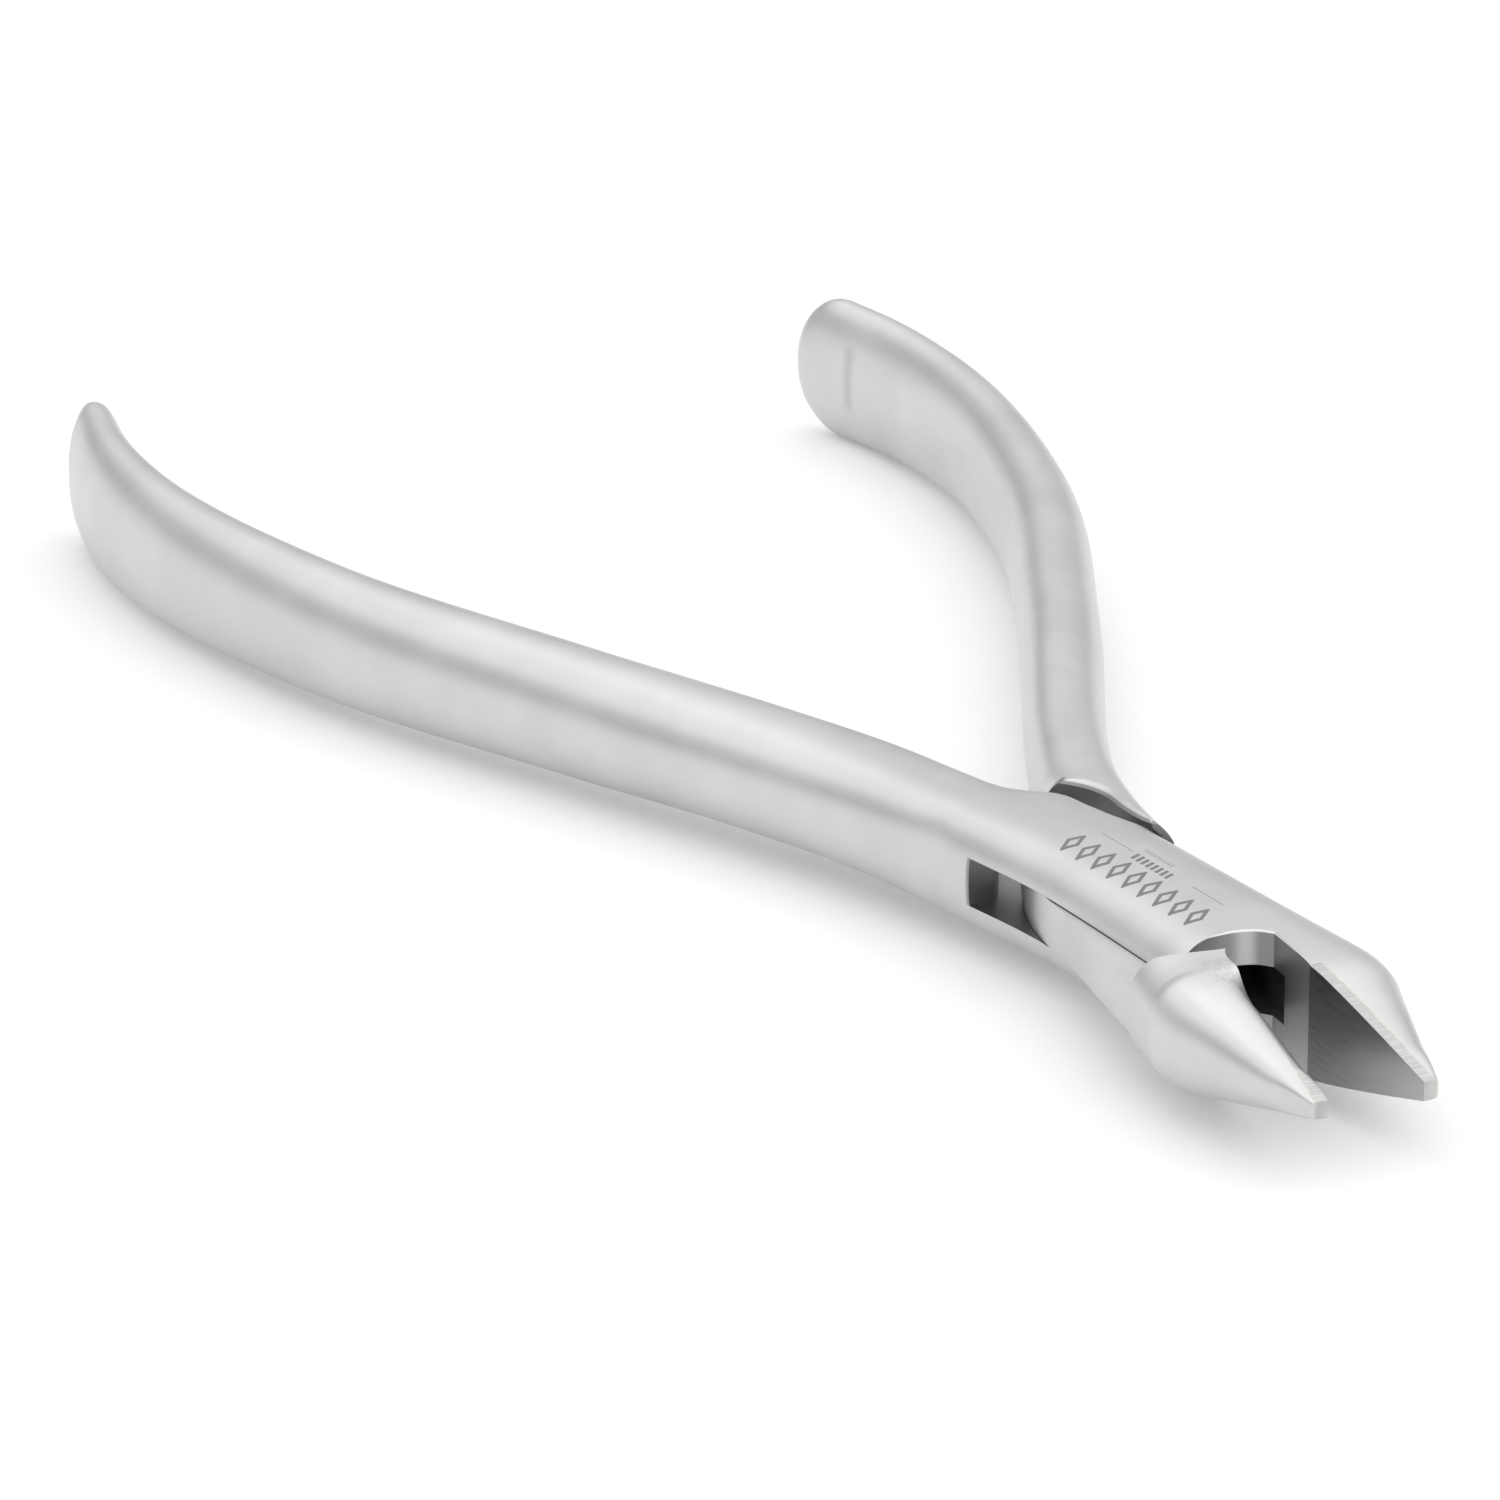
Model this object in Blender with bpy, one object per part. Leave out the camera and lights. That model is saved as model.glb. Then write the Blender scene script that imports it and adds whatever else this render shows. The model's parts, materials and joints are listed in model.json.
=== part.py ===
"""Box-joint cutting nippers: two forged halves crossed through each other on a flush rivet.

Both halves are first laid out closed, in one plan with the rivet's axis at its origin, the jaws
towards +X and the mating plane of the blades on y = 0. Each half then turns by half of the
opening angle, one each way, which is how the tool lies at rest. Lengths are in millimetres and
are scaled to metres when a mesh is made.
"""
import math

import bmesh
import bpy
import numpy as np

MM = 0.001

# Driving dimensions
HALF_OPENING = math.radians(5.6)       # each half's turn from closed to rest
RIVET_AXIS_X = 35.46                   # rivet axis in the part's frame
RIVET_AXIS_Z = 4.8
JAW_TIP_X = 29.65                      # blade tip, from the rivet axis
BOX_REAR_X = -14.5
BOX_FRONT_X = 16.6
JAW_ALLOWANCE = 0.6                    # stock on a jaw's inner face before it is ground
CHEEK_FLAT_Z = 3.6                     # ground flats on top and underneath
HEAD_EDGE_Z = 3.2                      # rivet head: foot of its rim
HEAD_CONE_Z = 2.6                      # rivet head: foot of its cone
TONGUE_HALF = 1.40
SLOT_HALF = 1.45
SHOULDER_GAP = 0.25                    # shoulder to cheek when closed
CHEEK_CORNER_R = 6.0                   # cheek's rear corner, an arc about the rivet
JAW_HEEL_R = 14.15                     # heel of the tongue's jaw, an arc about the rivet
RIVET_R = 2.0
RIVET_HEAD_R = 2.5
BORE_RUNNING_GAP = 0.05
BORE_FIXED_GAP = 0.03
BLADE_HEEL_X = 18.35
BLADE_THICKNESS = 0.68
BLADE_HALF_GAP = 0.03                  # each blade stands this far off the mating plane
BRAZE_THICKNESS = 0.08
BRAZE_GAP = 0.02
INNER_LINE_HEEL_Y = 0.10               # jaw's inner face where the blade's pocket begins
POCKET_OVERRUN = 2.0                   # cutters run this far past the blade tip
OUTSIDE_Y = 9.0                        # cutters reach this far to each side of the box
TOOL_HALF = 6.0                        # half height of a cutter that goes right through
FLAT_TOOL_TOP = 9.0
SLAB_X = (-25.0, 35.0)                 # length that the flats are ground over
SLAB_HALF_WIDTH = 15.0
HANDLE_END_ROUND = 4.2                 # length of the handle's elliptical end
HANDLE_NOSE = 1.8                      # length over which the end also thins
WELD_DISTANCE = 0.00001                # metres, closes slivers left by a cut
RING = 28                              # points round a section
HANDLE_ROUNDNESS = 2.6
BOX_ROUNDNESS = 2.8

# Handle centrelines when closed: x, y away from the middle, half thickness, half height
BOX_HANDLE = (
    (-7.5, 2.6, 2.2, 3.3),
    (-14.0, 3.25, 3.1, 3.36),
    (-22.4, 4.1, 3.75, 3.45),
    (-44.0, 11.3, 3.35, 3.85),
    (-65.6, 18.1, 2.80, 4.20),
    (-86.6, 19.8, 2.20, 4.55),
    (-94.0, 18.60, 1.98, 4.72),
    (-98.27, 17.32, 1.85, 4.80),
)
TONGUE_HANDLE = (
    (-7.5, 2.7, 2.1, 3.3),
    (-14.0, 3.2, 2.7, 3.36),
    (-22.4, 4.85, 2.55, 3.50),
    (-44.0, 12.25, 2.60, 3.90),
    (-65.6, 18.55, 2.55, 4.25),
    (-86.6, 19.9, 2.15, 4.55),
    (-94.0, 18.65, 1.96, 4.72),
    (-98.27, 17.32, 1.85, 4.80),
)
HANDLE_END = (0.25, 0.48, 0.68, 0.82, 0.92, 0.985)     # sections of the end, as parts of its length
# Box body: x, half width, half height before the flats are ground
BOX = (
    (BOX_REAR_X, 6.3, 3.45),
    (-11.5, 5.85, 3.62),
    (-8.6, 5.45, 3.76),
    (-3.0, 4.85, 3.85),
    (3.0, 4.85, 3.85),
    (9.0, 5.05, 3.82),
    (14.2, 5.22, 3.70),
    (BOX_FRONT_X, 5.10, 3.30),
)
# Far jaw, round on its back only: x, outer half width, half height, roundness
FAR_JAW = (
    (12.2, 5.35, 3.76, 2.9),
    (15.0, 5.68, 3.68, 2.9),
    (17.3, 5.85, 3.54, 2.9),
    (18.9, 5.60, 3.32, 2.8),
    (21.0, 4.70, 2.82, 2.6),
    (25.5, 2.75, 1.68, 2.5),
    (JAW_TIP_X, 0.95, 0.56, 6.0),
)
# Near jaw, round all over: x, middle, reach inwards, reach outwards, half height, roundness
NEAR_JAW = (
    (12.2, 0.0, 5.00, 5.10, 3.74, 2.8),
    (15.0, 0.0, 4.80, 5.30, 3.62, 2.7),
    (16.2, 0.3, 4.00, 5.05, 3.56, 2.6),
    (17.6, 2.3, 2.70, 3.10, 3.38, 2.5),
    (18.9, 2.3, 2.50, 2.80, 3.16, 2.3),
    (21.0, 2.0, 2.20, 2.30, 2.66, 2.3),
    (25.5, 1.2, 1.35, 1.40, 1.53, 2.4),
    (JAW_TIP_X, 0.42, 0.60, 0.53, 0.50, 6.0),
)


def spline(points, steps):
    """Points on a Catmull-Rom curve through the given rows, steps to a span."""
    rows = np.array(points, float)
    rows = np.vstack([2 * rows[0] - rows[1], rows, 2 * rows[-1] - rows[-2]])
    t = np.linspace(0.0, 1.0, steps, endpoint=False)[:, None]
    spans = []
    for before, start, end, after in zip(rows, rows[1:], rows[2:], rows[3:]):
        spans.append(0.5 * (2 * start + (end - before) * t
                            + (2 * before - 5 * start + 4 * end - after) * t ** 2
                            + (3 * start - before - 3 * end + after) * t ** 3))
    return np.vstack(spans + [rows[-2:-1]])


def power(value, exponent):
    """Signed power, for superellipse sections."""
    return np.sign(value) * np.abs(value) ** exponent


def arc(radius, start_deg, end_deg, count):
    """Points on an arc about the rivet axis."""
    angles = np.radians(np.linspace(start_deg, end_deg, count))
    return [(radius * math.cos(a), radius * math.sin(a)) for a in angles]


def new_object(name, mesh, group):
    mesh.validate()
    obj = bpy.data.objects.new(name, mesh)
    group.objects.link(obj)
    return obj


def mesh_from_bmesh(name, bm):
    bmesh.ops.recalc_face_normals(bm, faces=bm.faces)
    bmesh.ops.scale(bm, vec=(MM, MM, MM), verts=bm.verts)
    mesh = bpy.data.meshes.new(name)
    bm.to_mesh(mesh)
    bm.free()
    return mesh


def loft(name, rings, group):
    """Closed skin through rings of points, with a flat cap at each end."""
    bm = bmesh.new()
    layers = [[bm.verts.new(point) for point in ring] for ring in rings]
    for low, high in zip(layers, layers[1:]):
        for i in range(len(low)):
            j = (i + 1) % len(low)
            bm.faces.new((low[i], low[j], high[j], high[i]))
    bm.faces.new(layers[0])
    bm.faces.new(layers[-1])
    return new_object(name, mesh_from_bmesh(name, bm), group)


def prism(name, outline, low_z, high_z, group):
    """Flat outline extruded between two heights."""
    bm = bmesh.new()
    face = bm.faces.new([bm.verts.new((x, y, low_z)) for x, y in outline])
    side = bmesh.ops.extrude_face_region(bm, geom=[face])["geom"]
    lifted = [item for item in side if isinstance(item, bmesh.types.BMVert)]
    bmesh.ops.translate(bm, vec=(0, 0, high_z - low_z), verts=lifted)
    return new_object(name, mesh_from_bmesh(name, bm), group)


def turned(name, profile, group, segments=48):
    """Round piece about the rivet axis, from a profile of radius and height."""
    bm = bmesh.new()
    edge = [bm.verts.new((radius, 0, height)) for radius, height in profile]
    for start, end in zip(edge, edge[1:]):
        bm.edges.new((start, end))
    bmesh.ops.spin(bm, geom=bm.verts[:] + bm.edges[:], axis=(0, 0, 1), cent=(0, 0, 0),
                   steps=segments, angle=math.tau, use_duplicate=False)
    bmesh.ops.remove_doubles(bm, verts=bm.verts, dist=0.0001)
    return new_object(name, mesh_from_bmesh(name, bm), group)


def combine(target, tool, operation):
    boolean = target.modifiers.new(tool.name, "BOOLEAN")
    boolean.operation = operation
    boolean.solver = "EXACT"
    boolean.object = tool


def handle_rings(stations, side):
    """Handle sections square to a bowed centreline, closing as an ellipse at the end."""
    rows = spline(stations, 4)
    centre = rows[:, :2]
    along = np.gradient(centre, axis=0)
    along /= np.linalg.norm(along, axis=1)[:, None]
    across = np.stack([-along[:, 1], along[:, 0]], axis=1)
    last = np.array(HANDLE_END)
    reach = HANDLE_END_ROUND * last
    nose = np.clip((reach - HANDLE_END_ROUND + HANDLE_NOSE) / HANDLE_NOSE, 0.0, 1.0)
    centre = np.vstack([centre, centre[-1] + along[-1] * reach[:, None]])
    across = np.vstack([across, np.repeat(across[-1:], len(last), axis=0)])
    half = np.concatenate([rows[:, 2], rows[-1, 2] * np.sqrt(1.0 - nose ** 2)])
    height = np.concatenate([rows[:, 3], rows[-1, 3] * np.sqrt(1.0 - last ** 2)])
    angle = np.linspace(0.0, math.tau, RING, endpoint=False)
    out = power(np.cos(angle), 2 / HANDLE_ROUNDNESS)
    up = power(np.sin(angle), 2 / HANDLE_ROUNDNESS)
    rings = []
    for middle, normal, a, b in zip(centre, across, half, height):
        rings.append([(middle[0] + normal[0] * a * u, side * (middle[1] + normal[1] * a * u), b * v)
                      for u, v in zip(out, up)])
    return rings


def box_rings():
    """Box sections before its flats are ground and the two halves are cut apart."""
    angle = (np.arange(RING) + 0.5) * math.tau / RING
    out = power(np.cos(angle), 2 / BOX_ROUNDNESS)
    up = power(np.sin(angle), 2 / BOX_ROUNDNESS)
    return [[(x, a * u, b * v) for u, v in zip(out, up)] for x, a, b in spline(BOX, 3)]


def far_jaw_rings():
    """Far jaw sections: flat just past the mating plane, round on the back, square at the tip."""
    angle = np.linspace(-math.pi / 2, math.pi / 2, RING // 2 + 2)[1:-1]
    rings = []
    for x, a, b, roundness in spline(FAR_JAW, 3):
        out = power(np.cos(angle), 2 / roundness)
        up = power(np.sin(angle), 2 / roundness)
        back = [(x, a * u, b * v) for u, v in zip(out, up)]
        rings.append([(x, -JAW_ALLOWANCE, -b)] + back + [(x, -JAW_ALLOWANCE, b)])
    return rings


def near_jaw_rings():
    """Near jaw sections: a rounded cone whose middle line leans in to the tip."""
    angle = (np.arange(RING) + 0.5) * math.tau / RING
    rings = []
    for x, middle, inwards, outwards, b, roundness in spline(NEAR_JAW, 3):
        out = power(np.cos(angle), 2 / roundness)
        up = power(np.sin(angle), 2 / roundness)
        a = np.where(out > 0, inwards, outwards)
        rings.append([(x, y, z) for y, z in zip(a * out - middle, b * up)])
    return rings


def shoulder_line(offset):
    """Rear edge of the cheeks, moved outwards by offset: a rounded corner, then an arc."""
    line = spline(((-13.4, -0.15), (-12.8, 0.55), (-11.9, 1.40), (-10.7, 2.02), (-8.0, 2.37),
                   (-6.1, 2.75), (-5.1, 3.16)), 4)
    along = np.gradient(line, axis=0)
    along /= np.linalg.norm(along, axis=1)[:, None]
    line = line + offset * np.stack([-along[:, 1], along[:, 0]], axis=1)
    radius = CHEEK_CORNER_R + offset
    start = math.degrees(math.atan2(line[-1][1], line[-1][0]))
    return [tuple(point) for point in line[:-1]] + arc(radius, start, 120.0, 8)


def slot_outline():
    """Slot for the tongue, open at the near front and the far rear."""
    far_wall = spline(((0.6, 5.1), (3.0, 4.25), (6.0, 3.5), (9.0, 2.9), (12.0, 2.1), (14.3, 1.35),
                       (15.2, 0.5), (15.5, -0.6)), 4)
    near_wall = [(16.0, -OUTSIDE_Y), (-8.6, -OUTSIDE_Y), (-8.6, -3.7), (-9.5, -2.9), (-13.6, -0.35)]
    return (near_wall + [(-16.0, 0.2), (-16.0, OUTSIDE_Y), (0.6, OUTSIDE_Y)]
            + [tuple(p) for p in far_wall])


def blade_pocket(side):
    """Step in a jaw's inner face that the blade and its braze lie in."""
    depth = BLADE_HALF_GAP + BLADE_THICKNESS + BRAZE_THICKNESS + 2 * BRAZE_GAP
    heel = BLADE_HEEL_X - BRAZE_GAP
    return [(heel, side * INNER_LINE_HEEL_Y), (heel, side * depth),
            (JAW_TIP_X + POCKET_OVERRUN, side * depth)]


def cheek_front():
    """Hollow front edge of the cheeks, the jaw's relief, and the pocket for the blade."""
    edge = spline(((12.85, -5.0), (12.5, -3.4), (12.4, -1.9), (12.55, -0.7), (13.0, 0.2),
                   (13.7, 0.75)), 5)
    return ([(12.85, -OUTSIDE_Y)] + [tuple(p) for p in edge] + blade_pocket(1)
            + [(JAW_TIP_X + POCKET_OVERRUN, -OUTSIDE_Y)])


def tongue_far_side():
    """Everything beyond the tongue's far edge and its jaw's inner face."""
    edge = spline(((-4.6, 4.40), (-1.5, 4.45), (0.8, 4.40), (2.9, 3.9), (5.9, 3.15), (8.9, 2.55),
                   (11.6, 1.75), (13.3, 0.92), (14.3, 0.15), (15.1, -0.24), (15.8, -0.36)), 4)
    return ([(-4.6, OUTSIDE_Y)] + [tuple(p) for p in edge] + blade_pocket(-1)
            + [(JAW_TIP_X + POCKET_OVERRUN, OUTSIDE_Y)])


def tongue_near_side():
    """Everything beyond the tongue's near edge, behind its straight flank."""
    edge = spline(((-12.9, 0.15), (-11.3, -0.9), (-9.2, -2.4), (-7.9, -3.6), (-6.6, -4.6),
                   (-5.6, -5.6)), 4)
    return [(-30.0, -OUTSIDE_Y), (-30.0, 0.15)] + [tuple(p) for p in edge] + [(-5.6, -OUTSIDE_Y)]


def cheek_space():
    """Room for one cheek beside the tongue: from the shoulder to the jaw's heel."""
    return ([(-14.0, -OUTSIDE_Y)] + shoulder_line(SHOULDER_GAP)
            + [(-3.1, OUTSIDE_Y), (13.0, OUTSIDE_Y)] + arc(JAW_HEEL_R, 30.0, -38.0, 24)
            + [(11.0, -11.0)])


def material(name, colour, roughness, metallic=1.0):
    new = bpy.data.materials.new(name)
    new.use_nodes = True
    shader = new.node_tree.nodes["Principled BSDF"]
    shader.inputs["Base Color"].default_value = (*colour, 1.0)
    shader.inputs["Roughness"].default_value = roughness
    shader.inputs["Metallic"].default_value = metallic
    return new


def place(obj, turn, finish):
    """Put a piece on the rivet axis, turned from closed to rest."""
    weld = obj.modifiers.new("weld", "WELD")
    weld.merge_threshold = WELD_DISTANCE
    obj.location = (RIVET_AXIS_X * MM, 0.0, RIVET_AXIS_Z * MM)
    obj.rotation_euler = (0.0, 0.0, turn)
    obj.data.materials.append(finish)
    for boolean in [modifier for modifier in obj.modifiers if modifier.type == "BOOLEAN"]:
        boolean.object.parent = obj
    for polygon in obj.data.polygons:
        polygon.use_smooth = True


def bore_tool(name, head_gap, group):
    """Cutter for the rivet's bore with a countersink at each face."""
    shank = RIVET_R + head_gap
    head = RIVET_HEAD_R + head_gap
    return turned(name, ((0, TOOL_HALF), (head, TOOL_HALF), (head, HEAD_EDGE_Z),
                         (shank, HEAD_CONE_Z), (shank, -HEAD_CONE_Z), (head, -HEAD_EDGE_Z),
                         (head, -TOOL_HALF), (0, -TOOL_HALF)), group)


def grind_flats(half, tools):
    """Flats on top of the box and underneath it, which the tool lies on."""
    slab = ((SLAB_X[0], -SLAB_HALF_WIDTH), (SLAB_X[1], -SLAB_HALF_WIDTH),
            (SLAB_X[1], SLAB_HALF_WIDTH), (SLAB_X[0], SLAB_HALF_WIDTH))
    for word, low_z, high_z in (("upper", CHEEK_FLAT_Z, FLAT_TOOL_TOP),
                                ("lower", -FLAT_TOOL_TOP, -CHEEK_FLAT_Z)):
        combine(half, prism(f"{half.name}_{word}_flat_cut", slab, low_z, high_z, tools), "DIFFERENCE")


def make_box_half(parts, tools):
    """Half with the box: near handle, two cheeks round a slot, and the far jaw."""
    half = loft("box_half", box_rings(), parts)
    combine(half, loft("near_handle_shape", handle_rings(BOX_HANDLE, -1), tools), "UNION")
    combine(half, loft("far_jaw_shape", far_jaw_rings(), tools), "UNION")
    grind_flats(half, tools)
    shoulder = ([(-30.0, OUTSIDE_Y), (-30.0, -0.15)] + shoulder_line(0.0) + [(-3.0, OUTSIDE_Y)])
    combine(half, prism("shoulder_cut", shoulder, -TOOL_HALF, TOOL_HALF, tools), "DIFFERENCE")
    combine(half, prism("front_cut", cheek_front(), -TOOL_HALF, TOOL_HALF, tools), "DIFFERENCE")
    combine(half, prism("slot_cut", slot_outline(), -SLOT_HALF, SLOT_HALF, tools), "DIFFERENCE")
    combine(half, bore_tool("cheek_bore_cut", BORE_FIXED_GAP, tools), "DIFFERENCE")
    return half


def make_tongue_half(parts, tools):
    """Half with the tongue: far handle with its shoulder, the flat tongue, and the near jaw."""
    half = loft("tongue_half", box_rings(), parts)
    combine(half, loft("far_handle_shape", handle_rings(TONGUE_HANDLE, 1), tools), "UNION")
    combine(half, loft("near_jaw_shape", near_jaw_rings(), tools), "UNION")
    grind_flats(half, tools)
    space = cheek_space()
    combine(half, prism("upper_cheek_cut", space, TONGUE_HALF, TOOL_HALF, tools), "DIFFERENCE")
    combine(half, prism("lower_cheek_cut", space, -TOOL_HALF, -TONGUE_HALF, tools), "DIFFERENCE")
    for word, outline in (("far", tongue_far_side()), ("near", tongue_near_side())):
        side_tool = prism(f"{word}_side_cut", outline, -TOOL_HALF, TOOL_HALF, tools)
        combine(half, side_tool, "DIFFERENCE")
    running = RIVET_R + BORE_RUNNING_GAP
    bore = turned("tongue_bore_cut", ((0, TOOL_HALF), (running, TOOL_HALF), (running, -TOOL_HALF),
                                      (0, -TOOL_HALF)), tools)
    combine(half, bore, "DIFFERENCE")
    return half


def make_rivet(parts):
    """Rivet with countersunk heads, ground flush with the cheeks."""
    top = CHEEK_FLAT_Z
    return turned("pivot_rivet", ((0, top), (RIVET_HEAD_R, top), (RIVET_HEAD_R, HEAD_EDGE_Z),
                                  (RIVET_R, HEAD_CONE_Z), (RIVET_R, -HEAD_CONE_Z),
                                  (RIVET_HEAD_R, -HEAD_EDGE_Z), (RIVET_HEAD_R, -top), (0, -top)), parts)


def make_layer(name, side, inner, outer, parts, tools):
    """Flat layer on a jaw between two planes, trimmed to the jaw's outline."""
    front = JAW_TIP_X + POCKET_OVERRUN
    outline = ((BLADE_HEEL_X, side * inner), (front, side * inner),
               (front, side * outer), (BLADE_HEEL_X, side * outer))
    layer = prism(name, outline, -TOOL_HALF, TOOL_HALF, parts)
    jaw = far_jaw_rings() if side > 0 else near_jaw_rings()
    combine(layer, loft(name + "_outline", jaw, tools), "INTERSECT")
    return layer


def main():
    for old in list(bpy.data.objects):
        bpy.data.objects.remove(old)
    parts = bpy.data.collections.new("sprue_nippers")
    tools = bpy.data.collections.new("cutters")
    bpy.context.scene.collection.children.link(parts)
    bpy.context.scene.collection.children.link(tools)
    steel = material("satin_steel", (0.72, 0.72, 0.71), 0.34)
    rivet_steel = material("rivet_steel", (0.70, 0.70, 0.69), 0.30)
    carbide = material("carbide", (0.42, 0.42, 0.43), 0.38)
    silver = material("silver_braze", (0.62, 0.60, 0.54), 0.35)
    place(make_box_half(parts, tools), HALF_OPENING, steel)
    place(make_tongue_half(parts, tools), -HALF_OPENING, steel)
    place(make_rivet(parts), HALF_OPENING, rivet_steel)
    blade_back = BLADE_HALF_GAP + BLADE_THICKNESS
    braze_front = blade_back + BRAZE_GAP
    braze_back = braze_front + BRAZE_THICKNESS
    for word, side in (("box", 1), ("tongue", -1)):
        turn = side * HALF_OPENING
        blade = make_layer(word + "_jaw_blade", side, BLADE_HALF_GAP, blade_back, parts, tools)
        place(blade, turn, carbide)
        braze = make_layer(word + "_jaw_braze", side, braze_front, braze_back, parts, tools)
        place(braze, turn, silver)
    for tool in tools.objects:
        tool.hide_render = True
        tool.display_type = "WIRE"


main()
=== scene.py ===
"""Finish for a pair of satin steel box-joint nippers, laid out as an add-on and run as a script."""
import json
import math

import bpy
import numpy as np
from bpy.props import FloatProperty, FloatVectorProperty, PointerProperty
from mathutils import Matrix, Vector


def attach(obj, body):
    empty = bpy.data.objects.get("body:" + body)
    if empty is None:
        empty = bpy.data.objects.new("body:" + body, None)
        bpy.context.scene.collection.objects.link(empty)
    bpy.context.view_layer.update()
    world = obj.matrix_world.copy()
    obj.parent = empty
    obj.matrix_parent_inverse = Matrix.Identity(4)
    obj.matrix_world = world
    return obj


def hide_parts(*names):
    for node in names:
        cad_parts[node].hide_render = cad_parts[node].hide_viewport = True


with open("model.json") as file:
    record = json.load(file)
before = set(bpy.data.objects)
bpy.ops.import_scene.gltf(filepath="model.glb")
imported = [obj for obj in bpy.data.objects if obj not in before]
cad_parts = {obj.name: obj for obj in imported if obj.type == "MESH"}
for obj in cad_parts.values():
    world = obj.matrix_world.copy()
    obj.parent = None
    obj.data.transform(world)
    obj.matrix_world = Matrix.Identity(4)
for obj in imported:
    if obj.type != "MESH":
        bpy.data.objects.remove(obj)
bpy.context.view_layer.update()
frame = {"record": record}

bl_info = {
    "name": "Box-joint nippers",
    "version": (1, 0, 0),
    "blender": (4, 5, 0),
    "location": "View3D > Sidebar > Nippers",
    "description": "Forged halves, rivet, hard-metal blades and a plain stage",
    "category": "Add Mesh",
}

MM = 0.001
JOINT = frame["record"]["behaviour"]["joints"][0]
PIVOT = np.array(JOINT["pos_m"])
HALF_OPENING = math.radians(JOINT["range_deg"][1] / 2)

# Lengths are millimetres in the plan of the closed tool, with the rivet axis at the origin
FLAT_Z = 3.6                 # flats ground on the box, above and below
SLOT_HALF = 1.45             # half height of the slot through the box
TONGUE_HALF = 1.40           # half thickness of the tongue that runs in it
SHOULDER_GAP = 0.25          # between the cheeks' rear edge and the tongue half's shoulder
CORNER_R = 6.0               # rear corner of the cheeks, about the rivet
HEEL_R = 14.15               # hollow behind the near jaw, about the rivet
SHOULDER_BREAK = 0.06        # edge break along the cheeks' rear edge
CRESCENT_BREAK = 3           # the shoulder's own is this many times the property's
LOWER_EDGE_BREAK = 0.08      # most that an edge on the underside is broken
EDGE_RISE = 0.04             # an edge break runs on this far above the flat
RIVET_R = 2.0
RIVET_HALF = 3.48            # the cheeks close over the rivet's ends
RIVET_BREAK = 0.15           # edge break at the rivet's ends
RIVET_EYE = 0.02             # small round flat that closes each end
RIVET_SIDES = 64
BOX_BORE_GAP = 0.01
TONGUE_BORE_GAP = 0.05
BORE_SIDES = 60
BLADE_HEEL = 18.35           # rear end of both blades
HEEL_GAP = 0.02              # between a blade and the step ground behind it
STEP_FRONT = 0.10            # the step's front corner, off the mating plane
BLADE_FACE = 0.03            # front of a blade, off the mating plane
BLADE_BACK = 0.71
BRAZE_BACK = 0.81
TIP_X = 29.65
RING = 112                   # points round a section
STATION_STEPS = 22           # sections from one station to the next
EDGE_STEPS = 10              # points from one plan point of an edge to the next
FRONT_STEPS = 12             # and of the hollow front edge
END_LENGTH = 4.15            # the handle's end closes over this length
END_NOSE = 1.8               # and thins over this much of it
END_SECTIONS = 24
END_OVERRUN = 1.02           # above 1, so the end's handle side doesn't quite close
END_TAPER = 0.85             # exponent of its taper
END_SPAN = (0.49, 0.06)      # sections of the end, from its nose, as parts of half a turn
HANDLE_ROUNDNESS = 2.25      # exponent of a section's superellipse, 2 being an ellipse
BOX_SQUARER = 0.55           # what the box adds to it
NEAR_JAW_ROUNDER = 0.4       # what the near jaw takes off
TIP_SQUARER = 3.6            # what the tips add
BOX_SPAN = (-36.0, -4.0)     # where the box's own exponent comes in,
JAW_SPAN = (15.0, 19.0)      # where the jaw's does
TIP_SPAN = (26.0, TIP_X)     # and the tips'
AXIS_SPAN = (-32.0, -13.5)   # sections turn square to the tool's axis along here
PRESS_SPAN = (-40.0, -14.0)  # and begin to be pressed flat along here
FLAT_EASE = 0.06             # sections are pressed softly to this far above the flats
FLAT_SOFTNESS = 14           # exponent of that pressing: more is crisper
CUT_SIDE = 9.0               # cutters reach this far to either side,
CUT_REAR = -30.0             # this far back,
CUT_FRONT = TIP_X + 2        # this far forward
CUT_TOP = 6.0                # and this far up and down
TRIM_REACH = 40.0            # reach of the cutters that trim a blade
TRIM_REAR = -120.0
TRIM_TOP = 12.0
WELD = 0.000004              # metres
FORWARD_SHARE = 0.02         # an offset edge has turned back when it keeps less than this
UNTANGLE_ROUNDS = 400

# Where the details lie, along the tool unless another way is named
SLOT_SPAN = (-13.6, 15.7)
FILED_SPAN = (15.9, 18.4)    # coarse patch behind the near jaw
SHOULDER_SPAN = (-13.6, -2.9)
SHOULDER_WALL = ((1.45, 1.55), (3.30, 3.20))    # its shade comes and goes at these heights
BAR_SPAN = (-95.5, -94.7)    # soft bar on the far handle
BAR_HEIGHTS = (-1.8, 2.4)
SAWN_SPAN = (9.0, 12.9)      # saw lines beside the tongue
SAWN_HEIGHTS = ((1.34, 1.39), (1.46, 1.41))
MARK_TOP = (3.1, 3.3)        # the mark lies above these heights

# Grain of the steel: scale, then depth of detail, then its stretch along each axis
CLOUD = (0.16, 2.0)
DRAWN = (2.2, 4.0, (0.10, 0.30, 2.2))
GRAIN = (14.0, 2.0)
FILED = (3.2, 5.0, (1.0, 1.6, 0.8))
SAWN = (2.6, 3.0, (2.4, 0.5, 1.0))
LAPPING = (1.6, 4.0, (0.3, 1.0, 2.4))
SPOTS = (2.3, 1.0)
CROSS_GRINDING = (1.7, 2.0, (5.0, 0.3, 0.3))
BRAZE_GRAIN = (1.5, 4.0)
FLOOR_GRAIN = (3.0, 2.0)

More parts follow.
